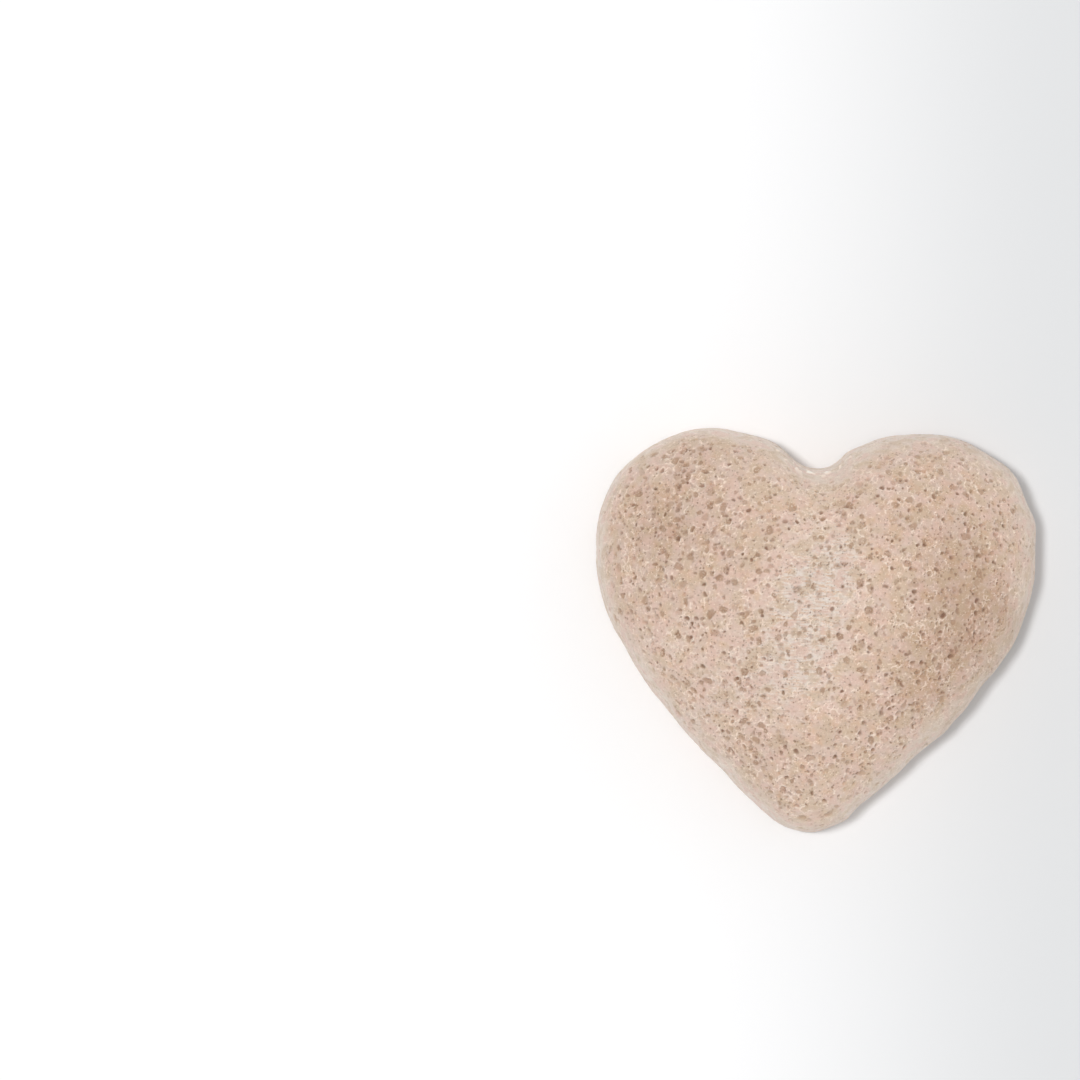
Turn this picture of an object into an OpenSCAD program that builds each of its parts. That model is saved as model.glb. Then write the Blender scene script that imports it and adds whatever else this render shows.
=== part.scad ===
// Heart-shaped facial sponge, moulded in one piece of open-cell konjac foam.
// It lies on its flat back with the dome up. X runs across the lobes, Y from the
// tip towards the notch, and the origin is the middle of the back face.

/* [Heart outline] */
// Width across the two lobes
sponge_w = 80; // [74:1:86]
// Height from the tip to the top of the higher lobe
sponge_h = 73; // [68:1:80]
// Radius of the two lobes
lobe_r = 21.6; // [20.5:0.1:23]
// How far the right lobe stands lower than the left one
lobe_drop = 0.7; // [0:0.1:2]
// Radius of the fillet in the notch between the lobes
notch_r = 6.2; // [4:0.1:9]
// Radius of the cheek, where each side turns in below its lobe
cheek_r = 41; // [34:1:50]
// Where the cheek takes over from the lobe, in degrees below the lobe's middle
cheek_start = 6.5; // [0:0.5:15]
// Radius of the long arc down each flank
flank_r = 148; // [110:1:200]
// Radius of the rounded tip
tip_r = 10; // [7:0.1:12]
// How far the tip leans to the left of the middle
tip_lean = 1.5; // [0:0.1:3]

/* [Section] */
// Thickness from the back face to the crown
sponge_t = 27; // [22:1:32]
// Height of the steep side wall, where the dome begins
wall_h = 7; // [5:0.5:10]
// Draft of the side wall, which lets the foam out of its mould, in degrees
wall_draft = 4; // [0:1:8]
// Radius of the soft edge round the back face
edge_r = 1.6; // [0.8:0.1:2.4]
// Fullness of the dome: 2 is an ellipse, and more is squarer at the shoulder
dome_fullness = 2.25; // [1.9:0.05:2.6]

/* [Crown] */
// Place of the crown, towards the notch from the middle of the back
crown_y = 3.5; // [0:0.5:6]
// Radius of the round crown that the heart's sections turn into
crown_r = 31; // [26:1:36]
// How soon they turn round: 1 is evenly up the dome, and more is nearer the top
crown_blend = 1.15; // [0.8:0.05:1.8]

/* [Hidden] */

// Facets along each arc of the outline, and rings up the soft edge and the dome
flank_n = 14;
cheek_n = 9;
lobe_n = 30;
notch_n = 10;
tip_n = 12;
edge_n = 4;
dome_n = 20;

// How far the blank runs below the back face before it is trimmed flat
overrun = 1;

// Centres of the two lobes, the rounded tip and the notch's fillet
left_lobe = [lobe_r - sponge_w / 2, sponge_h / 2 - lobe_r];
right_lobe = [sponge_w / 2 - lobe_r, sponge_h / 2 - lobe_r - lobe_drop];
tip = [-tip_lean, tip_r - sponge_h / 2];
notch = meeting(right_lobe, lobe_r + notch_r, left_lobe, lobe_r + notch_r, -1);

// Centres of the cheek arcs, each of which runs smoothly out of its lobe
left_turn = 180 + cheek_start;
right_turn = 360 - cheek_start;
left_cheek = left_lobe - (cheek_r - lobe_r) * [cos(left_turn), sin(left_turn)];
right_cheek = right_lobe - (cheek_r - lobe_r) * [cos(right_turn), sin(right_turn)];

// Centres of the flank arcs, each of which runs smoothly into its cheek and the tip
left_flank = meeting(left_cheek, flank_r - cheek_r, tip, flank_r - tip_r, 1);
right_flank = meeting(right_cheek, flank_r - cheek_r, tip, flank_r - tip_r, -1);

crown = [0, crown_y];
wall_inset = (wall_h - edge_r) * tan(wall_draft);

// The point that is d1 from c1 and d2 from c2, to the left (1) or right (-1) of the way from c1 to c2
function meeting(c1, d1, c2, d2, side) =
    let (way = c2 - c1, gap = norm(way), ahead = way / gap)
    let (along = (d1 * d1 - d2 * d2 + gap * gap) / (2 * gap))
    let (aside = sqrt(d1 * d1 - along * along))
    c1 + along * ahead + side * aside * [-ahead[1], ahead[0]];

// The direction of a flat vector, from 0 to 360 degrees
function heading(v) = (atan2(v[1], v[0]) + 360) % 360;

// Points along an arc, its first one in and its last one left to the next arc.
// It turns counterclockwise (1) or clockwise (-1) from one heading to the other.
function arc(centre, r, from, to, n, turn = 1) =
    let (sweep = turn * ((turn * (to - from) + 720) % 360))
    [for (i = [0 : n - 1]) let (a = from + sweep * i / n) centre + r * [cos(a), sin(a)]];

// The heart, counterclockwise from where the tip meets the right flank
outline = concat(
    arc(right_flank, flank_r, heading(tip - right_flank), heading(right_cheek - right_flank), flank_n),
    arc(right_cheek, cheek_r, heading(right_cheek - right_flank), right_turn, cheek_n),
    arc(right_lobe, lobe_r, right_turn, heading(notch - right_lobe), lobe_n),
    arc(notch, notch_r, heading(right_lobe - notch), heading(left_lobe - notch), notch_n, -1),
    arc(left_lobe, lobe_r, heading(notch - left_lobe), left_turn, lobe_n),
    arc(left_cheek, cheek_r, left_turn, heading(left_cheek - left_flank), cheek_n),
    arc(left_flank, flank_r, heading(left_cheek - left_flank), heading(tip - left_flank), flank_n),
    arc(tip, tip_r, heading(tip - left_flank), heading(tip - right_flank), tip_n)
);
around = len(outline);

// The outline's outward direction at point i
function outward(i) =
    let (way = outline[(i + 1) % around] - outline[(i + around - 1) % around])
    [way[1], -way[0]] / norm(way);

// A ring of the side wall, drawn in from the outline by inset
function wall_ring(inset, z) =
    [for (i = [0 : around - 1]) let (p = outline[i] - inset * outward(i)) [p[0], p[1], z]];

// A ring of the dome. spread goes from 1 at the wall to 0 at the crown, and the
// section turns from the heart into a circle on the way.
function dome_ring(spread, z) =
    let (round = pow(1 - spread, crown_blend))
    [for (p = wall_ring(wall_inset, z))
        let (arm = [p[0], p[1]] - crown)
        let (reach = (1 - round) * norm(arm) + round * crown_r)
        let (q = crown + spread * reach * arm / norm(arm))
        [q[0], q[1], z]];

dome_power = 2 / dome_fullness;

// Rings from below the back face to the last one under the crown
rings = concat(
    [wall_ring(edge_r, -overrun)],
    [for (i = [0 : edge_n]) let (a = 90 * i / edge_n) wall_ring(edge_r * (1 - sin(a)), edge_r * (1 - cos(a)))],
    [for (i = [0 : dome_n - 1])
        let (a = 90 * i / dome_n)
        dome_ring(pow(cos(a), dome_power), wall_h + (sponge_t - wall_h) * pow(sin(a), dome_power))]
);

// The foam blank: rings joined by triangles, closed below and at the crown
module heart_blank() {
    levels = len(rings);
    points = concat(
        [for (ring = rings) each ring],
        [[crown[0], crown[1], -overrun], [crown[0], crown[1], sponge_t]]
    );
    bottom = levels * around;
    top = bottom + 1;
    sides = [for (k = [0 : levels - 2], i = [0 : around - 1])
        let (j = (i + 1) % around, a = k * around, b = a + around)
        each [[a + i, b + i, b + j], [a + i, b + j, a + j]]];
    ends = [for (i = [0 : around - 1])
        let (j = (i + 1) % around, last = (levels - 1) * around)
        each [[bottom, i, j], [top, last + j, last + i]]];
    polyhedron(points, concat(sides, ends), convexity = 4);
}

// The sponge: the blank, with its back trimmed to the flat face it is poured at
module sponge_body() {
    color([0.83, 0.73, 0.65])
    difference() {
        heart_blank();
        translate([-sponge_w, -sponge_h, -2 * overrun])
            cube([2 * sponge_w, 2 * sponge_h, 2 * overrun]);
    }
}

sponge_body();
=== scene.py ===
"""Heart-shaped konjac sponge, lying on its flat back under a camera that looks straight down.

The foam is one mesh. It starts as a smoothed copy of the CAD solid, takes the slight lumps
of a moulded piece, and then has its cells and pores carved into it one by one, so that light
falls into real hollows. What the carving leaves behind, such as how dark a point in a pore
is, stays on the mesh as attributes, and the material reads them for its colours.
"""

import math
from itertools import product

import bpy
import numpy as np
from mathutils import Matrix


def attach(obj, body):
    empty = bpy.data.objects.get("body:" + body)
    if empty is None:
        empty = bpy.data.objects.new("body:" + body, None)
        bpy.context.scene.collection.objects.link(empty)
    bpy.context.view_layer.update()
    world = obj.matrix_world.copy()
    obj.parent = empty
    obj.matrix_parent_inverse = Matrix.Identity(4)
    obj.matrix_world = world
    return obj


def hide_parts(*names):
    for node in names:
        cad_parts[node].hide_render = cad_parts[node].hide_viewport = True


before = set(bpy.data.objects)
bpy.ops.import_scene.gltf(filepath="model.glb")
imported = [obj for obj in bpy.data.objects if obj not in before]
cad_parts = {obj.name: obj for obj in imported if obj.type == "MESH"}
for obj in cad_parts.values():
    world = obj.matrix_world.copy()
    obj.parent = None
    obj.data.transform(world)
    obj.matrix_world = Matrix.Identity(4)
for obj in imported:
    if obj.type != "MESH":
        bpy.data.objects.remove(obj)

MM = 0.001

# The photograph: its frame in pixels, and where the middle of the heart is in it
FRAME_PX = 1080
HEART_PX = (815.6, 629.6)
FRAME_WIDTH = 194.97 * MM  # what the frame spans at the height of the heart's outline
OUTLINE_Z = 4 * MM
CAMERA_DISTANCE = 2.0
SENSOR = 36.0

# The light: a key lamp high on the left, in a tent that is brighter low down and on the right
KEY_PLACE = (-0.32, 0.08, 1.50)
KEY_SIZE = 0.24
KEY_WATTS = 11.5
TENT_HORIZON = 1.0
TENT_TOP = 0.35
TENT_RIGHT = 0.26
WHITE = (1, 1, 1, 1)

# The floor: half its side, its height, its colours on the left and right, between which x it
# turns from one to the other, and between which distances it turns plain white
FLOOR_HALF = 6.0
FLOOR_Z = -0.02 * MM
FLOOR_WHITE = (0.985, 0.985, 0.99, 1)
# The grey is painted shade: the floor darkens towards the right as the light falls off, with a
# faint blue against the warm light the sponge throws on it.
FLOOR_SHADED_GREY = (0.755, 0.765, 0.775, 1)
FLOOR_TURN = (-0.03, 0.05)
FLOOR_FADE = (0.2, 0.6)

# The foam mesh
NODE = "sponge_body"
COARSE_VOXEL = 0.66 * MM
SUBDIVISIONS = 2
SPACING = COARSE_VOXEL / 2**SUBDIVISIONS
SEED = 20  # each noise and each set of draws has its own number added to it

# The bake map, in mm, and how much of its side is used
CROWN_Y = 3.5  # where the dome is highest
DROP_SHARE = 0.8  # how much a drop below the crown adds to the way out from it
ISLAND_GAP = 2.0  # between the dome's island and the back's
MAP_SIDE, MAP_MARGIN = 0.996, 0.002

# Corners and flats of the photographed outline: x and y in mm, how far out, and how wide
OUTLINE_BULGES = (
    (39.3, 7.3, 0.20, 3.0),
    (39.7, 14.5, -0.20, 3.0),
    (39.7, 19.4, 0.40, 2.5),
    (35.8, 28.4, 0.80, 4.0),
    (18.0, 35.4, -0.50, 5.0),
    (5.6, 32.5, 0.50, 2.0),
    (-7.5, 34.0, 0.30, 3.0),
    (-13.5, 35.6, -0.40, 3.5),
    (-27.5, 34.5, -0.12, 4.0),
    (-36.0, 28.0, 0.25, 4.0),
    (-39.8, 15.0, -0.30, 4.0),
    (-34.5, -3.0, -0.30, 3.0),
    (-29.8, -11.5, 0.15, 2.5),
    (-24.1, -18.0, 0.10, 2.0),
    (-17.0, -25.5, -0.30, 3.0),
    (0.5, -37.1, 0.25, 4.0),
    (5.8, -34.5, 0.65, 2.0),
    (17.5, -23.5, -0.25, 2.5),
    (23.5, -18.5, 0.50, 3.0),
    (27.0, -14.8, 0.40, 2.5),
    (30.3, -9.6, -0.20, 2.0),
    (35.0, -2.0, 0.30, 4.5),
)
# Broad patches on the dome: x and y in mm, the tint, and how wide. Over 0 the foam is browner,
# partly its own tan and partly painted shade on the lobes and the right flank, and under 0 it is
# lighter, partly its own paler foam and partly painted light down the middle and the lower left,
# with pale dry fibres and a painted sheen towards -1.
TINT_AND_LIGHT_PATCHES = (
    (-26.0, 19.0, 0.65, 10.0),
    (-20.0, 30.0, 0.3, 6.0),
    (14.0, 21.0, 0.4, 6.0),
    (25.0, 13.0, 0.5, 9.0),
    (23.0, -1.0, 1.0, 12.0),
    (32.5, 1.5, 0.6, 6.0),
    (22.5, -15.0, 0.4, 6.0),
    (14.0, -10.0, 0.4, 7.0),
    (0.5, 9.5, -0.95, 11.0),
    (-3.0, -4.5, -1.0, 10.5),
    (-26.0, -3.0, -0.6, 9.0),
    (-15.0, -14.0, -0.6, 10.0),
    (-2.0, -29.0, -0.5, 6.0),
)
PATCH_WOBBLE = 0.3

# Heights of the foam's small forms, in mm
SLOW_LUMP, QUICK_LUMP = 0.12, 0.06
COARSE_GRAIN, FINE_GRAIN, SKIN_GRAIN = 0.04, 0.03, 0.06
CELL_RIM, PORE_LIP = 0.02, 0.03
TORN_SPECK = 0.22

# The smooth skin, by the upward part of the surface's normal: it starts at SKIN_START, a little
# sooner towards the right, and is full SKIN_RISE below that. Then how strong it is at the
# shoulder, what of that is lost on the wall, and how strong it is under the notch.
SKIN_START, SKIN_START_PER_MM, SKIN_RISE = 0.76, 0.0018, 0.44
SKIN_SHOULDER, SKIN_WALL_LOSS, SKIN_SADDLE = 0.9, 0.4, 0.7
SADDLE_AT, SADDLE_WIDTH = (0.8, 31.5), (9, 7.0)  # under the notch, x and y in mm

# The notch's edge as a parabola, and how far out from its middle and in from its edge the foam
# is torn, each from none to full, in mm
NOTCH_FLOOR = 29.2
NOTCH_OPENING = 0.09
TORN_HALF_WIDTH = (9.5, 6.5)
TORN_DEPTH = (2.6, 0.6)

# Closed cells: tries a square mm, radii in mm, and the share of large ones
CELL_TRIES = 4.0
CELL_LEAST, CELL_RANGE = 0.24, 0.34
LARGE_CELL = (0.55, 0.95)
LARGE_SHARE = 0.055

# Open pores: tries a square mm, and radii and depth in mm
PORE_TRIES = 1.3
PORE_LEAST, PORE_SPREAD, PORE_MOST = 0.10, 0.104, 0.52
PORE_DEPTH_MOST = 0.5

# The foam's colours, as they are read off a screen
ROSE, TAN = (214, 190.5, 176), (213, 182.5, 158)  # what all of it is mottled in
PINK, STRAW = (220, 190, 176), (207, 184, 160)  # with more of the clay, and with less
# The pale crown colour: partly dry fibrous foam, partly a painted sheen of the light on the top of
# the dome.
PALE_CROWN_AND_SHEEN = (229, 217, 207)
SKIN = (222, 208, 194)
# The wall colour: the steep wall's pale skin, made lighter still as painted light against the
# shade that falls on the wall.
PALE_WALL_AND_LIGHT = (231, 224, 216)
FIBRE = (232, 212, 198)
LIGHT_CELL, DARK_CELL = (224, 193, 178), (198, 174, 150)
# The fleck colour is painted shade in the low spots of the fleck relief.
FLECK_SHADE = (188, 159, 139)
# The film colour: partly a closed cell's own brownish tint, partly painted shade of the hollow
# under it.
FILM_AND_SHADE = (172, 140, 115)
# The pit colour is painted shade in fine pits that the mesh is too coarse for.
PIT_SHADE = (158, 129, 108)
# The next three are painted glints: light specks on the foam, on the raised rims of cells and
# pores, and on the torn lip of the notch.
SPECK_GLINT = (247, 233, 218)
RIM_GLINT = (246, 228, 213)
TORN_LIP_GLINT = (255, 247, 236)
# The pore colours: partly the wet, dense foam inside, partly painted shade in the hollow.
HOLLOW_SHADE, WARM_HOLLOW_SHADE = (143, 114, 88), (149, 113, 94)
# The two factors below follow the broad patches: lighter is partly paler foam and partly painted
# light, browner is partly tan foam and partly painted shade.
LIGHTER_AND_LIT = (1.07, 1.07, 1.07, 1)  # these two are factors
BROWNER_AND_SHADED = (0.765, 0.70, 0.63, 1)


# ---------------------------------------------------------------- numbers over many points


def smoothstep(low, high, x):
    """0 below low and 1 above high, with a smooth rise between. low may be above high."""
    t = np.clip((x - low) / (high - low), 0, 1)
    return t * t * (3 - 2 * t)


def noise(points, size, seed):
    """Smooth noise from -1 to 1 with features about size across."""
    low = points.min(0) - size
    place = (points - low) / size
    cell = place.astype(int)
    share = place - cell
    share = share * share * (3 - 2 * share)
    lattice = np.random.default_rng(seed).uniform(-1, 1, cell.max(0) + 2)
    total = np.zeros(len(points))
    for corner in product((0, 1), repeat=3):
        at = cell + corner
        weight = np.where(corner, share, 1 - share).prod(1)
        total += weight * lattice[at[:, 0], at[:, 1], at[:, 2]]
    return total


def near(points, centres, reach):
    """Indices (of points, of centres) of every pair that lies within reach."""
    low = np.minimum(points.min(0), centres.min(0)) - 1.5 * reach
    span = ((np.maximum(points.max(0), centres.max(0)) - low) / reach).astype(int) + 3

    def key(cell):
        return (cell[:, 0] * span[1] + cell[:, 1]) * span[2] + cell[:, 2]

    keys = key(((points - low) / reach).astype(int))
    order = np.argsort(keys, kind="stable")
    keys = keys[order]
    home = ((centres - low) / reach).astype(int)
    found_points, found_centres = [], []
    for step in product((-1, 0, 1), repeat=3):
        wanted = key(home + step)
        first = np.searchsorted(keys, wanted, "left")
        count = np.searchsorted(keys, wanted, "right") - first
        j = np.repeat(np.arange(len(centres)), count)
        start = np.repeat(first - np.cumsum(count) + count, count)
        i = order[start + np.arange(count.sum())]
        close = ((points[i] - centres[j]) ** 2).sum(1) < reach * reach
        found_points.append(i[close])
        found_centres.append(j[close])
    return np.concatenate(found_points), np.concatenate(found_centres)


# ---------------------------------------------------------------- the blank


def mesh_arrays(mesh):
    """Vertex places, vertex normals, and the four corners of each face."""
    count = len(mesh.vertices)
    places = np.empty(count * 3)
    mesh.vertices.foreach_get("co", places)
    normals = np.empty(count * 3)
    mesh.vertex_normals.foreach_get("vector", normals)
    corners = np.empty(len(mesh.loops), int)
    mesh.loops.foreach_get("vertex_index", corners)
    return places.reshape(-1, 3), normals.reshape(-1, 3), corners.reshape(-1, 4)


def smooth_blank(node):
    """The CAD solid as an even mesh of squares, without the edges of its facets."""
    blank = bpy.data.objects.new("blank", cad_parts[node].data.copy())
    bpy.context.scene.collection.objects.link(blank)
    remesh = blank.modifiers.new("Remesh", "REMESH")
    remesh.mode = "VOXEL"
    remesh.voxel_size = COARSE_VOXEL
    relax = blank.modifiers.new("Relax", "SMOOTH")
    relax.factor = 0.5
    relax.iterations = 5
    finer = blank.modifiers.new("Finer", "SUBSURF")
    finer.levels = finer.render_levels = SUBDIVISIONS
    bpy.context.view_layer.update()
    graph = bpy.context.evaluated_depsgraph_get()
    mesh = bpy.data.meshes.new_from_object(blank.evaluated_get(graph))
    arrays = mesh_arrays(mesh)
    bpy.data.meshes.remove(mesh)
    bpy.data.objects.remove(blank)
    return arrays


# ---------------------------------------------------------------- the foam


def spots(places, table):
    """The sum of soft round spots. Each has a place, a value and a width in mm."""
    x, y = places[:, 0] / MM, places[:, 1] / MM
    return sum(
        value * np.exp(-((x - u) ** 2 + (y - v) ** 2) / width**2)
        for u, v, value, width in table
    )


def lumps(places, normals):
    """How far each point stands out of the true form, as a piece of moulded foam does."""
    slow = SLOW_LUMP * noise(places, 13 * MM, SEED + 1)
    quick = QUICK_LUMP * noise(places, 4 * MM, SEED + 2)
    lying = smoothstep(-0.5, -0.95, normals[:, 2])  # the back stays flat
    return (slow + quick + spots(places, OUTLINE_BULGES)) * MM * (1 - lying)


def skin_share(places, normals):
    """How much of a smooth skin the foam has.

    It has most at the shoulder, less on the wall below and under the notch, and none on the
    dome and the back.
    """
    x, y = places[:, 0] / MM, places[:, 1] / MM
    up = normals[:, 2]
    start = SKIN_START + SKIN_START_PER_MM * x
    shoulder = smoothstep(start, start - SKIN_RISE, up)
    shoulder *= SKIN_SHOULDER - SKIN_WALL_LOSS * smoothstep(0.30, 0.05, up)
    aside, along = (x - SADDLE_AT[0]) / SADDLE_WIDTH[0], (y - SADDLE_AT[1]) / SADDLE_WIDTH[1]
    saddle = SKIN_SADDLE * np.exp(-(aside**2) - along**2)
    wobble = 1 + 0.7 * noise(places, 6 * MM, SEED + 3) + 0.35 * noise(places, 2.2 * MM, SEED + 12)
    front = np.clip(np.maximum(shoulder, saddle) * wobble, 0, 1)
    return front * (1 - smoothstep(-0.55, -0.9, up))


def torn_share(places, normals):
    """1 at the lip of the notch, where the foam tore as it left the mould, and 0 elsewhere."""
    x, y = places[:, 0] / MM, places[:, 1] / MM
    inwards = NOTCH_FLOOR + NOTCH_OPENING * x**2 - y
    under = smoothstep(*TORN_HALF_WIDTH, np.abs(x)) * smoothstep(*TORN_DEPTH, inwards)
    return under * smoothstep(0.10, 0.25, normals[:, 2])  # not on the wall


def warped(places):
    """The places, pushed about a little, so that cells laid out in them have uneven outlines."""
    pushes = []
    for axis in range(3):
        broad = 0.11 * noise(places, 0.9 * MM, SEED + 20 + axis)
        pushes.append(broad + 0.06 * noise(places, 0.42 * MM, SEED + 30 + axis))
    return places + np.stack(pushes, 1) * MM


def across(normals):
    """Two unit vectors square to each normal."""
    flat = np.abs(normals[:, 2:]) > 0.9
    guide = np.where(flat, (1.0, 0.0, 0.0), (0.0, 0.0, 1.0))
    first = np.cross(normals, guide)
    first /= np.linalg.norm(first, axis=1, keepdims=True)
    return first, np.cross(normals, first)


class Cells:
    """Bubbles of the foam that open at its surface. Each has a place, a radius and an outline."""

    ROUNDS = 6  # of keeping what no larger cell crowds out
    GROUPS = ((0, 0.25), (0.25, 0.45), (0.45, 2))  # radii in mm that are looked up together
    FAR = 9.0  # how far out a place lies that no cell is near

    def __init__(self, rng, places, normals, density, radii, least_gap):
        """Tries density cells a square mm, sized by radii, and keeps those that fit.

        Large ones come first, and least_gap is a share of two neighbours' radii together.
        """
        at = np.flatnonzero(rng.random(len(places)) < density * (SPACING / MM) ** 2)
        size = radii(rng, at)
        order = np.argsort(-size)
        at, size = at[order], size[order]
        i, j = near(places[at], places[at], 2 * size.max() * MM)
        gap = np.linalg.norm(places[at[i]] - places[at[j]], axis=1) / MM
        crowded = (i > j) & (gap < least_gap * (size[i] + size[j]))
        i, j = i[crowded], j[crowded]
        open_to_try = np.ones(len(at), bool)
        kept = np.zeros(len(at), bool)
        for _ in range(self.ROUNDS):
            blocked = np.zeros(len(at), bool)
            blocked[i[open_to_try[i] & open_to_try[j]]] = True
            kept |= open_to_try & ~blocked
            open_to_try &= blocked
            open_to_try[i[kept[j]]] = False
        self.at, self.size = at[kept], size[kept]
        self.count = len(self.at)
        self.centres = places[self.at]
        self.first, self.second = across(normals[self.at])
        self.sector = 2 * math.pi / rng.integers(5, 8, self.count)
        self.turns = rng.uniform(0, 2 * math.pi, (3, self.count))
        self.squash = rng.uniform(0.05, 0.24, self.count)
        self.lean = rng.uniform(0, 0.7, self.count)

    def edge(self, j, offset):
        """How far cell j's outline reaches towards each offset, as a share of its radius.

        The outline is a polygon, a little uneven.
        """
        angle = np.arctan2((offset * self.second[j]).sum(1), (offset * self.first[j]).sum(1))
        half = self.sector[j] / 2
        polygon = np.cos(half) / np.cos((angle + self.turns[0][j]) % (2 * half) - half)
        uneven = self.squash[j] * np.cos(2 * angle + self.turns[1][j])
        return 0.1 + 0.9 * polygon + uneven + 0.07 * np.cos(3 * angle + self.turns[2][j])

    def slope(self, j, offset):
        """About 1: more on the side that cell j leans to, where it is deeper, else less."""
        aside = (offset * self.first[j]).sum(1) * np.cos(self.turns[2][j])
        aside += (offset * self.second[j]).sum(1) * np.sin(self.turns[2][j])
        return 1 + self.lean[j] * np.clip(aside / (self.size[j] * MM), -1, 1)

    def nearest(self, places, reach):
        """Finds each place's cell, out to reach times the cell's radius.

        Returns whether there is one, which it is, how far out the place lies in it (1 is the
        edge), how much further out it lies in the next cell, and the cell's slope there.
        """
        owner = np.full(len(places), -1)
        share, rival = np.full(len(places), self.FAR), np.full(len(places), self.FAR)
        for low, high in self.GROUPS:
            group = np.flatnonzero((self.size >= low) & (self.size < high))
            if not len(group):
                continue
            i, g = near(places, self.centres[group], reach * self.size[group].max() * MM)
            j = group[g]
            offset = places[i] - self.centres[j]
            out = np.linalg.norm(offset, axis=1) / (self.size[j] * MM * self.edge(j, offset))
            order = np.lexsort((out, i))
            i, j, out = i[order], j[order], out[order]
            lead = np.flatnonzero(np.append(True, i[1:] != i[:-1]))
            after = np.minimum(lead + 1, len(i) - 1)
            second = np.where((after > lead) & (i[after] == i[lead]), out[after], self.FAR)
            v, s = i[lead], out[lead]
            ahead = s < share[v]
            rival[v] = np.where(ahead, np.minimum(share[v], second), np.minimum(rival[v], s))
            owner[v] = np.where(ahead, j[lead], owner[v])
            share[v] = np.where(ahead, s, share[v])
        inside = owner >= 0
        mine = np.where(inside, owner, 0)
        return inside, mine, share, rival - share, self.slope(mine, places - self.centres[mine])


def closed_cells(places, bent, normals, skin, back, pale):
    """The foam's closed cells.

    Returns how deep each point lies, how brown a film it is, its tone, and its wall.
    """
    rng = np.random.default_rng(SEED)

    def radii(rng, at):
        chance = LARGE_SHARE * (1 - skin[at]) * (1 - 0.8 * back[at]) * (1 - 0.6 * pale[at])
        large = rng.random(len(at)) < chance
        large_size = rng.uniform(*LARGE_CELL, len(at))
        return np.where(large, large_size, CELL_LEAST + CELL_RANGE * rng.random(len(at)) ** 1.6)

    cells = Cells(rng, places, normals, CELL_TRIES, radii, 0.86)
    here = skin[cells.at]
    clusters = noise(cells.centres, 6 * MM, SEED + 4)
    chance = 0.08 + 0.30 * smoothstep(0.4, 0.7, cells.size)
    filmy = rng.random(cells.count) < chance * (1 + 0.5 * clusters) * (1 - 0.85 * here)
    depth = np.where(
        filmy,
        0.07 + cells.size * rng.uniform(0.14, 0.34, cells.count),
        rng.uniform(0.0, 0.06, cells.count) * (1 - 0.6 * here),
    )
    brown = np.where(
        filmy,
        rng.uniform(0.25, 1, cells.count),
        rng.uniform(0, 0.16, cells.count),
    )
    brown *= 1 - 0.5 * here
    tone = rng.normal(0, 0.55, cells.count)

    inside, mine, share, gap, slope = cells.nearest(bent, 1.35)
    wall = np.where(inside, smoothstep(0.0, 0.3, gap), 1)
    dish = np.where(inside, np.clip(1 - share**5, 0, 1), 0) * wall * slope
    flat = np.where(inside, smoothstep(1.14, 0.66, share), 0) * (0.25 + 0.75 * wall)
    rim = np.where(inside, np.exp(-(((share - 1.03) / 0.14) ** 2)), 0)
    shared = np.where(inside & (share < 1.1), 1 - smoothstep(0.0, 0.16, gap), 0)
    # The film's brown is partly its own tint and partly painted shade of the cell under it, darker
    # on the side where the cell is deeper.
    film = brown[mine] * flat * (0.4 + 0.6 * slope)
    return depth[mine] * dish, film, tone[mine] * flat, np.maximum(rim, shared)


def open_pores(places, bent, normals, skin, back, pale):
    """The pores that stand open.

    Returns how deep each point lies in one, how dark it is, and its lip.
    """
    rng = np.random.default_rng(SEED + 10)
    x, y = places[:, 0] / MM, places[:, 1] / MM
    clusters = 0.35 * noise(places, 6 * MM, SEED + 4) + noise(places, 1.9 * MM, SEED + 5)
    density = (PORE_TRIES - 0.6 * skin) * np.clip(0.95 + 0.75 * clusters, 0.1, 2.4)
    density *= 1 - 0.25 * back
    density *= (1 - 0.3 * smoothstep(10, 24, y)) * (1 + 0.004 * x)  # fewer on top, more right

    def radii(rng, at):
        more = rng.exponential(PORE_SPREAD, len(at)) * (1 - 0.65 * skin[at])
        return np.minimum(PORE_LEAST + more * (1 - 0.3 * pale[at]), PORE_MOST)

    pores = Cells(rng, places, normals, density, radii, 0.95)
    depth = np.minimum(pores.size * rng.uniform(0.6, 1.2, pores.count), PORE_DEPTH_MOST)
    dark = (0.10 + 0.90 * rng.random(pores.count) ** 1.9) * (1 - 0.5 * skin[pores.at])
    bright = rng.uniform(0, 1, pores.count)

    inside, mine, share, gap, slope = pores.nearest(bent, 1.6)
    wall = np.where(inside, smoothstep(0.0, 0.25, gap), 1)
    bowl = np.where(inside, np.sqrt(np.clip(1 - share**3, 0, 1)), 0) * wall
    shade = np.where(inside, smoothstep(1.15, 0.55, share), 0) * (0.3 + 0.7 * wall)
    lip = np.where(inside, np.exp(-(((share - 1.25) / 0.2) ** 2)), 0) * bright[mine]
    # A pore's darkness is partly its wet, dense foam and partly painted shade in the hollow,
    # darker on its deeper side.
    pore = dark[mine] * shade * (0.5 + 0.5 * slope)
    return depth[mine] * bowl * slope, pore, lip * (2 - slope)


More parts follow.
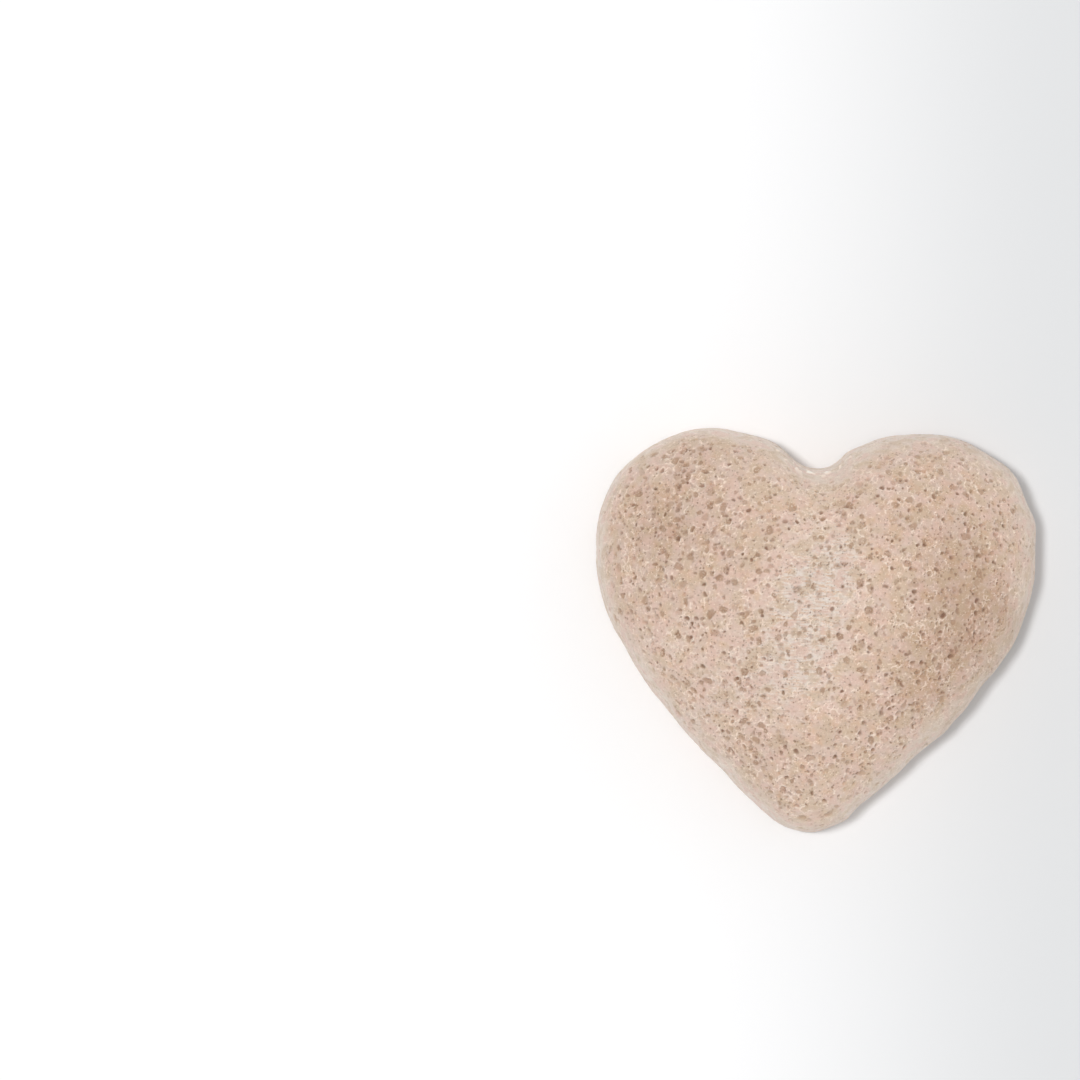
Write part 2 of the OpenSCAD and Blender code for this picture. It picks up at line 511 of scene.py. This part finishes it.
def polar_map(places, normals, quads):
    """UVs for the bake: the dome and wall unrolled round the crown, and the back flat beside."""
    x, y, z = (places / MM).T
    angle = np.arctan2(y - CROWN_Y, x)
    reach = np.hypot(x, y - CROWN_Y) + DROP_SHARE * (z.max() - z)
    front = np.stack([reach * np.cos(angle), reach * np.sin(angle)], 1)
    back = np.stack([x, y], 1)
    lying = normals[quads, 2].mean(1) < -0.5
    per_corner = np.where(lying[:, None, None], back[quads], front[quads])
    for island in (~lying, lying):
        per_corner[island] -= per_corner[island].reshape(-1, 2).min(0)
    width, height = per_corner[~lying].reshape(-1, 2).max(0)
    per_corner[lying] += (width + ISLAND_GAP, 0)
    side = max(per_corner[..., 0].max(), height)
    return (per_corner / side * MAP_SIDE + MAP_MARGIN).reshape(-1, 2)


def carve(places, normals):
    """Cuts the cells and pores into the blank, and gives it its grain.

    Returns the carved places, and the attributes that the material reads.
    """
    skin = skin_share(places, normals)
    back = smoothstep(-0.6, -0.9, normals[:, 2])
    places = places + normals * lumps(places, normals)[:, None]
    bent = warped(places)
    # The broad patches: partly the foam's own tints, partly painted shade on the lobes and right
    # flank and painted light down the middle.
    broad = spots(places, TINT_AND_LIGHT_PATCHES) + PATCH_WOBBLE * noise(places, 9 * MM, SEED + 11)
    broad *= 1 - back
    pale = smoothstep(-0.3, -1.0, broad)
    dish, film, tone, rim = closed_cells(places, bent, normals, skin, back, pale)
    bowl, pore, lip = open_pores(places, bent, normals, skin, back, pale)

    grain = COARSE_GRAIN * noise(places, 1.3 * MM, SEED + 6)
    grain += FINE_GRAIN * noise(places, 0.5 * MM, SEED + 7)
    grain += SKIN_GRAIN * skin * noise(places, 2.4 * MM, SEED + 14)
    ridge = CELL_RIM * rim + PORE_LIP * lip
    torn = torn_share(places, normals)
    torn *= smoothstep(0.12, 0.45, noise(places * (1, 1, 0.4), 0.6 * MM, SEED + 13))
    out = (grain + ridge) * (1 - 0.3 * skin) * (1 - 0.7 * back) + TORN_SPECK * torn - dish - bowl
    carved = places + normals * (out * MM)[:, None]
    carved[:, 2] = np.maximum(carved[:, 2], 0)

    # The edge mask: where painted glints go, on the raised rims and lips and on the torn lip of
    # the notch.
    specks = noise(places, 0.6 * MM, SEED + 8) + 0.5 * noise(places, 2.5 * MM, SEED + 9)
    edge = np.maximum(rim, lip) * smoothstep(0.0, 0.7, specks) * (1 - pore)
    edge = np.maximum(np.clip(edge, 0, 1) * (1 - 0.3 * skin), 2 * torn)
    edge *= 1 - 0.3 * smoothstep(0.6, 1.2, broad)
    # The steep sides, where the material lightens the foam: partly its pale skin, partly painted
    # light.
    wall = smoothstep(0.35, 0.12, normals[:, 2]) * (1 - back)
    return carved, {
        "pore": pore,
        "film": film,
        "tone": tone,
        "edge": edge,
        "skin": skin,
        "wall": wall,
        "broad": broad,
    }


def build_foam():
    """The sponge's mesh, with its pores, its attributes and its bake map."""
    blank, normals, quads = smooth_blank(NODE)
    places, attributes = carve(blank, normals)
    mesh = bpy.data.meshes.new("konjac_sponge")
    mesh.vertices.add(len(places))
    mesh.vertices.foreach_set("co", places.ravel())
    mesh.loops.add(quads.size)
    mesh.loops.foreach_set("vertex_index", quads.ravel())
    mesh.polygons.add(len(quads))
    mesh.polygons.foreach_set("loop_start", np.arange(0, quads.size, 4))
    mesh.update(calc_edges=True)
    mesh.shade_smooth()
    for name, values in attributes.items():
        attribute = mesh.attributes.new(name, "FLOAT", "POINT")
        attribute.data.foreach_set("value", values.astype(np.float32))
    uvs = polar_map(blank, normals, quads)
    mesh.uv_layers.new(name="OFBake").uv.foreach_set("vector", uvs.ravel())
    mesh.validate()
    foam = bpy.data.objects.new("konjac_sponge", mesh)
    bpy.context.scene.collection.objects.link(foam)
    return foam


# ---------------------------------------------------------------- material


class Nodes:
    """A short way to write the node tree of a material or a world."""

    def __init__(self, owner):
        owner.use_nodes = True
        self.tree = owner.node_tree
        self.tree.nodes.clear()

    def add(self, kind, **settings):
        node = self.tree.nodes.new(kind)
        for key, value in settings.items():
            setattr(node, key, value)
        return node

    def put(self, socket, value):
        if isinstance(value, bpy.types.NodeSocket):
            self.tree.links.new(value, socket)
        else:
            socket.default_value = value

    def maths(self, operation, *values, clamp=False):
        node = self.add("ShaderNodeMath", operation=operation, use_clamp=clamp)
        for socket, value in zip(node.inputs, values):
            self.put(socket, value)
        return node.outputs[0]

    def times(self, first, second):
        return self.maths("MULTIPLY", first, second)

    def ramp(self, value, low, high, to_low=0.0, to_high=1.0, way="SMOOTHSTEP"):
        """value's way from low to high, as a way from to_low to to_high."""
        node = self.add("ShaderNodeMapRange", interpolation_type=way)
        for socket, number in zip(node.inputs, (value, low, high, to_low, to_high)):
            self.put(socket, number)
        return node.outputs[0]

    def mix(self, factor, first, second, blend="MIX"):
        node = self.add("ShaderNodeMix", data_type="RGBA", blend_type=blend)
        self.put(node.inputs[0], factor)
        self.put(node.inputs[6], first)
        self.put(node.inputs[7], second)
        return node.outputs[2]

    def either(self, factor, first, second):
        """The first shader where factor is 0, and the second where it is 1."""
        node = self.add("ShaderNodeMixShader")
        for socket, value in zip(node.inputs, (factor, first, second)):
            self.put(socket, value)
        return node.outputs[0]

    def noise(self, where, scale, detail=2.0, roughness=0.5):
        node = self.add("ShaderNodeTexNoise")
        self.put(node.inputs["Vector"], where)
        self.put(node.inputs["Scale"], scale)
        self.put(node.inputs["Detail"], detail)
        self.put(node.inputs["Roughness"], roughness)
        return node.outputs[0]

    def dots(self, where, scale, edge, core):
        """Dots that fade from core to edge. Returns them, and a chance from 0 to 1 for each."""
        cells = self.add("ShaderNodeTexVoronoi")
        self.put(cells.inputs["Vector"], where)
        self.put(cells.inputs["Scale"], scale)
        chance = self.add("ShaderNodeSeparateColor")
        self.put(chance.inputs[0], cells.outputs["Color"])
        return self.ramp(cells.outputs["Distance"], edge, core), chance.outputs[0]

    def attribute(self, name):
        return self.add("ShaderNodeAttribute", attribute_name=name).outputs["Fac"]


def linear(colour):
    """A colour as it is read off a screen, 0 to 255, turned into the renderer's own scale."""

    def one(v):
        v /= 255
        return v / 12.92 if v <= 0.04045 else ((v + 0.055) / 1.055) ** 2.4

    return tuple(one(v) for v in colour) + (1.0,)


def foam_material():
    material = bpy.data.materials.new("konjac_foam")
    n = Nodes(material)
    in_mm = n.add("ShaderNodeVectorMath", operation="SCALE")
    n.put(in_mm.inputs[0], n.add("ShaderNodeTexCoord").outputs["Object"])
    n.put(in_mm.inputs["Scale"], 1 / MM)
    where = in_mm.outputs[0]
    long_way = n.add("ShaderNodeMapping")
    n.put(long_way.inputs["Vector"], where)
    long_way.inputs["Scale"].default_value = (0.32, 1.5, 1.0)
    pore, film, tone, edge, skin, wall, broad = (
        n.attribute(name) for name in ("pore", "film", "tone", "edge", "skin", "wall", "broad")
    )

    # What the mesh is too coarse for, or what only shows as a change of colour
    blotches = n.noise(where, 0.34, 3.0, 0.6)
    pinks = n.noise(where, 0.37, 1.0, 0.5)
    flecks = n.noise(where, 1.9, 3.0, 0.7)
    fibres = n.noise(long_way.outputs[0], 1.6, 3.0, 0.7)
    dots, chance = n.dots(where, 2.1, 0.34, 0.16)
    pits = n.times(dots, n.ramp(chance, 0.45, 0.95))
    pits = n.times(pits, n.ramp(skin, 0.2, 0.9, 1.0, 0.6))
    # Tiny painted glints scattered over the foam.
    dots, chance = n.dots(where, 3.6, 0.42, 0.22)
    glint_specks = n.times(dots, n.ramp(n.maths("MULTIPLY_ADD", blotches, 0.8, chance), 0.95, 1.4))
    glint_specks = n.times(glint_specks, n.ramp(broad, 0.6, 1.2, 1.0, 0.65))
    # The crown: pale fibre streaks where the patches are lightest, partly dry foam and partly
    # painted sheen of the light on the top.
    crown = n.times(n.ramp(broad, -0.25, -1.15), n.ramp(fibres, 0.43, 0.54, 0.1, 1.1))
    worn = n.times(skin, n.ramp(blotches, 0.35, 0.60, 0.5, 0.85))
    mottled = n.maths("MULTIPLY_ADD", blotches, 1.0, broad)

    colour = n.mix(n.ramp(blotches, 0.40, 0.66), linear(ROSE), linear(TAN))
    # Lighter where the patches are pale: partly paler foam, partly painted light.
    colour = n.mix(n.ramp(broad, 0.0, -0.6), colour, LIGHTER_AND_LIT, "MULTIPLY")
    colour = n.mix(n.times(crown, 0.95), colour, linear(PALE_CROWN_AND_SHEEN))
    colour = n.mix(worn, colour, linear(SKIN))
    # Painted light on the steep wall, over its pale skin.
    colour = n.mix(n.times(wall, 0.35), colour, linear(PALE_WALL_AND_LIGHT))
    colour = n.mix(n.ramp(pinks, 0.50, 0.66, 0.0, 0.7), colour, linear(PINK))
    colour = n.mix(n.ramp(pinks, 0.50, 0.34, 0.0, 0.7), colour, linear(STRAW))
    colour = n.mix(n.ramp(fibres, 0.55, 0.72, 0.0, 0.3), colour, linear(FIBRE))
    colour = n.mix(n.ramp(tone, 0.0, 1.2, 0.0, 0.15), colour, linear(LIGHT_CELL))
    colour = n.mix(n.ramp(tone, 0.0, -1.2, 0.0, 0.15), colour, linear(DARK_CELL))
    # Browner where the patches are tan: partly tan foam, partly painted shade.
    colour = n.mix(n.ramp(mottled, 0.5, 2.1), colour, BROWNER_AND_SHADED, "MULTIPLY")
    # Painted shade in the low spots of the fleck relief.
    colour = n.mix(n.ramp(flecks, 0.30, 0.46, 0.35, 0.0), colour, linear(FLECK_SHADE))
    # Partly the film's tint, partly painted shade of the cell under it.
    colour = n.mix(n.times(film, 0.8), colour, linear(FILM_AND_SHADE))
    # Painted shade in the fine pits.
    colour = n.mix(n.times(pits, 0.65), colour, linear(PIT_SHADE))
    # Painted glints: specks, raised rims and the torn lip of the notch.
    colour = n.mix(n.times(glint_specks, 0.65), colour, linear(SPECK_GLINT))
    colour = n.mix(n.maths("MULTIPLY", edge, 0.95, clamp=True), colour, linear(RIM_GLINT))
    colour = n.mix(n.ramp(edge, 1.0, 2.0), colour, linear(TORN_LIP_GLINT))
    # Inside the pores: partly wet, dense foam, partly painted shade in the hollow.
    inside = n.mix(n.ramp(tone, -0.8, 0.8), linear(HOLLOW_SHADE), linear(WARM_HOLLOW_SHADE))
    colour = n.mix(n.times(pore, 0.9), colour, inside)

    streaks = n.times(fibres, n.ramp(broad, -0.25, -1.15, 0.4, 3.0))
    level = n.maths("MULTIPLY_ADD", flecks, 0.6, streaks)
    bump = n.add("ShaderNodeBump")
    bump.inputs["Strength"].default_value = 0.8
    bump.inputs["Distance"].default_value = 0.12 * MM
    n.put(bump.inputs["Height"], n.maths("SUBTRACT", level, n.times(pits, 0.9)))

    surface = n.add("ShaderNodeBsdfPrincipled")
    n.put(surface.inputs["Base Color"], colour)
    rough = n.ramp(flecks, 0.3, 0.7, 0.72, 0.92)
    n.put(surface.inputs["Roughness"], n.maths("SUBTRACT", rough, n.times(skin, 0.14)))
    n.put(surface.inputs["Normal"], bump.outputs[0])
    surface.inputs["Specular IOR Level"].default_value = 0.35
    surface.inputs["Subsurface Weight"].default_value = 0.3
    surface.inputs["Subsurface Radius"].default_value = (1.0, 0.8, 0.65)
    surface.inputs["Subsurface Scale"].default_value = 0.6 * MM
    surface.inputs["Sheen Weight"].default_value = 0.15
    surface.inputs["Sheen Roughness"].default_value = 0.5
    n.put(n.add("ShaderNodeOutputMaterial").inputs[0], surface.outputs[0])
    return material


def floor_material():
    """Pale paper, a little greyer towards the right. Far off it is plain white: no horizon."""
    material = bpy.data.materials.new("pale_floor")
    n = Nodes(material)
    where = n.add("ShaderNodeTexCoord").outputs["Object"]
    place = n.add("ShaderNodeSeparateXYZ")
    n.put(place.inputs[0], where)
    # The grey towards the right is painted shade, the fall-off of the light.
    colour = n.mix(n.ramp(place.outputs["X"], *FLOOR_TURN), FLOOR_WHITE, FLOOR_SHADED_GREY)
    paper = n.add("ShaderNodeBsdfPrincipled")
    n.put(paper.inputs["Base Color"], colour)
    paper.inputs["Roughness"].default_value = 0.9
    paper.inputs["Specular IOR Level"].default_value = 0.1
    distance = n.add("ShaderNodeVectorMath", operation="LENGTH")
    n.put(distance.inputs[0], where)
    path = n.add("ShaderNodeLightPath")
    seen = n.maths("MAXIMUM", path.outputs["Is Camera Ray"], path.outputs["Is Glossy Ray"])
    seen = n.maths("MAXIMUM", seen, path.outputs["Is Transmission Ray"])
    far = n.times(n.ramp(distance.outputs["Value"], *FLOOR_FADE), seen)
    white = n.add("ShaderNodeEmission").outputs[0]
    floor = n.either(far, paper.outputs[0], white)
    n.put(n.add("ShaderNodeOutputMaterial").inputs[0], floor)
    return material


# ---------------------------------------------------------------- stage


def make_camera():
    """Looks straight down, so that the lens needs no shift to frame the heart as photographed."""
    data = bpy.data.cameras.new("camera")
    data.sensor_width = SENSOR
    data.lens = SENSOR * CAMERA_DISTANCE / FRAME_WIDTH
    data.clip_start, data.clip_end = 0.1, 20
    camera = bpy.data.objects.new("camera", data)
    pixel = FRAME_WIDTH / FRAME_PX
    camera.location = (
        -(HEART_PX[0] - FRAME_PX / 2) * pixel,
        (HEART_PX[1] - FRAME_PX / 2) * pixel,
        OUTLINE_Z + CAMERA_DISTANCE,
    )
    bpy.context.scene.collection.objects.link(camera)
    bpy.context.scene.camera = camera


def make_key_light():
    data = bpy.data.lights.new("key", "AREA")
    data.shape = "DISK"
    data.size = KEY_SIZE
    data.energy = KEY_WATTS
    light = bpy.data.objects.new("key", data)
    light.location = KEY_PLACE
    aim = -light.location
    light.rotation_euler = aim.to_track_quat("-Z", "Y").to_euler()
    bpy.context.scene.collection.objects.link(light)


def make_world():
    """A light tent, brighter towards the horizon, so that the heart's sides are as lit as its top.

    It is also brighter on the right, across from the key light.
    """
    world = bpy.data.worlds.new("studio")
    n = Nodes(world)
    way = n.add("ShaderNodeSeparateXYZ")
    n.put(way.inputs[0], n.add("ShaderNodeTexCoord").outputs["Generated"])
    height = n.ramp(way.outputs["Z"], 0.0, 1.0, TENT_HORIZON, TENT_TOP, "LINEAR")
    tent = n.add("ShaderNodeBackground")
    n.put(tent.inputs["Color"], WHITE)
    n.put(tent.inputs["Strength"], n.maths("MULTIPLY_ADD", way.outputs["X"], TENT_RIGHT, height))
    seen = n.add("ShaderNodeBackground")  # what the camera sees past the floor
    n.put(seen.inputs["Color"], WHITE)
    camera_ray = n.add("ShaderNodeLightPath").outputs["Is Camera Ray"]
    both = n.either(camera_ray, tent.outputs[0], seen.outputs[0])
    n.put(n.add("ShaderNodeOutputWorld").inputs["Surface"], both)
    return world


def make_stage():
    mesh = bpy.data.meshes.new("floor")
    corners = ((-1, -1), (1, -1), (1, 1), (-1, 1))
    places = [(x * FLOOR_HALF, y * FLOOR_HALF, FLOOR_Z) for x, y in corners]
    mesh.from_pydata(places, [], [(0, 1, 2, 3)])
    floor = bpy.data.objects.new("floor", mesh)
    bpy.context.scene.collection.objects.link(floor)
    mesh.materials.append(floor_material())
    make_key_light()
    bpy.context.scene.world = make_world()
    bpy.context.scene.view_settings.view_transform = "Standard"


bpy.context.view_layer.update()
make_camera()
foam = build_foam()
foam.data.materials.append(foam_material())
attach(foam, "root")
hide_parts(NODE)
make_stage()
